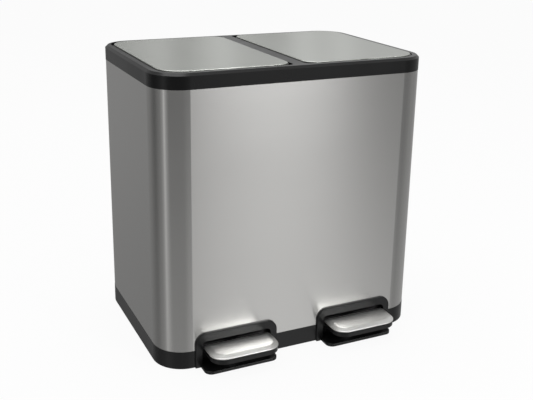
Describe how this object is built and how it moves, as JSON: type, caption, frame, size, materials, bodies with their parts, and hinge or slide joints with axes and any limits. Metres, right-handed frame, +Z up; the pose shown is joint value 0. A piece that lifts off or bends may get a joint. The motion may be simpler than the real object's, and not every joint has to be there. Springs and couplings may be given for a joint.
{
  "type": "double recycling bin",
  "caption": "Free-standing steel recycling bin with side-by-side buckets, each under its own hinged lid that a floor pedal opens through a lever and push rod.",
  "frame": {"origin": "on the floor under the middle of the body", "axes": "+Z up, the pedals face -Y, +X to the right of someone who faces the pedals"},
  "size_m": [0.472, 0.3823, 0.4815],
  "materials": {
    "brushed_steel": "brushed, satin",
    "pedal_steel": "brushed, satin",
    "plated_steel": "zinc plated",
    "black_plastic": "moulded, fine satin texture",
    "bucket_plastic": "moulded, satin",
    "rubber": "matt"
  },
  "bodies": {
    "root": {"body_wrap": "brushed_steel", "base_tray": "black_plastic", "rubber_feet": "rubber", "rim_collar": "black_plastic", "pedal_surround_left": "black_plastic", "hinge_pins_left": "plated_steel", "lid_bumpers_left": "rubber", "lever_bracket_left": "plated_steel", "pivot_pin_left": "plated_steel", "bracket_screws_left": "plated_steel", "bucket_left": "bucket_plastic", "pedal_surround_right": "black_plastic", "hinge_pins_right": "plated_steel", "lid_bumpers_right": "rubber", "lever_bracket_right": "plated_steel", "pivot_pin_right": "plated_steel", "bracket_screws_right": "plated_steel", "bucket_right": "bucket_plastic"},
    "lid_left": {"lid_skin_left": "brushed_steel", "lid_frame_left": "black_plastic"},
    "rod_left": {"push_rod_left": "plated_steel"},
    "pedal_left": {"pedal_lever_left": "plated_steel", "pedal_cap_left": "pedal_steel", "pedal_carrier_left": "black_plastic"},
    "lid_right": {"lid_skin_right": "brushed_steel", "lid_frame_right": "black_plastic"},
    "rod_right": {"push_rod_right": "plated_steel"},
    "pedal_right": {"pedal_lever_right": "plated_steel", "pedal_cap_right": "pedal_steel", "pedal_carrier_right": "black_plastic"}
  },
  "joints": [
    {"name": "lid_left_hinge", "type": "hinge", "parent": "root", "child": "lid_left", "pos_m": [-0.117, 0.14, 0.474], "axis": [-1, 0, 0], "range_deg": [0, 80]},
    {"name": "rod_left_hook", "type": "hinge", "parent": "lid_left", "child": "rod_left", "pos_m": [-0.11, 0.12468, 0.46114], "axis": [-1, 0, 0], "range_deg": [-80, 0]},
    {"name": "pedal_left_pivot", "type": "hinge", "parent": "root", "child": "pedal_left", "pos_m": [-0.11, -0.07, 0.015], "axis": [1, 0, 0], "range_deg": [0, 7.61]},
    {"name": "lid_right_hinge", "type": "hinge", "parent": "root", "child": "lid_right", "pos_m": [0.117, 0.14, 0.474], "axis": [-1, 0, 0], "range_deg": [0, 80]},
    {"name": "rod_right_hook", "type": "hinge", "parent": "lid_right", "child": "rod_right", "pos_m": [0.11, 0.12468, 0.46114], "axis": [-1, 0, 0], "range_deg": [-80, 0]},
    {"name": "pedal_right_pivot", "type": "hinge", "parent": "root", "child": "pedal_right", "pos_m": [0.11, -0.07, 0.015], "axis": [1, 0, 0], "range_deg": [0, 7.61]}
  ],
  "couplings": [
    {"joint": "rod_left_hook", "follows": "lid_left_hinge", "ratio": -1},
    {"joint": "pedal_left_pivot", "follows": "lid_left_hinge", "ratio": 0.09487},
    {"joint": "rod_right_hook", "follows": "lid_right_hinge", "ratio": -1},
    {"joint": "pedal_right_pivot", "follows": "lid_right_hinge", "ratio": 0.09487}
  ]
}
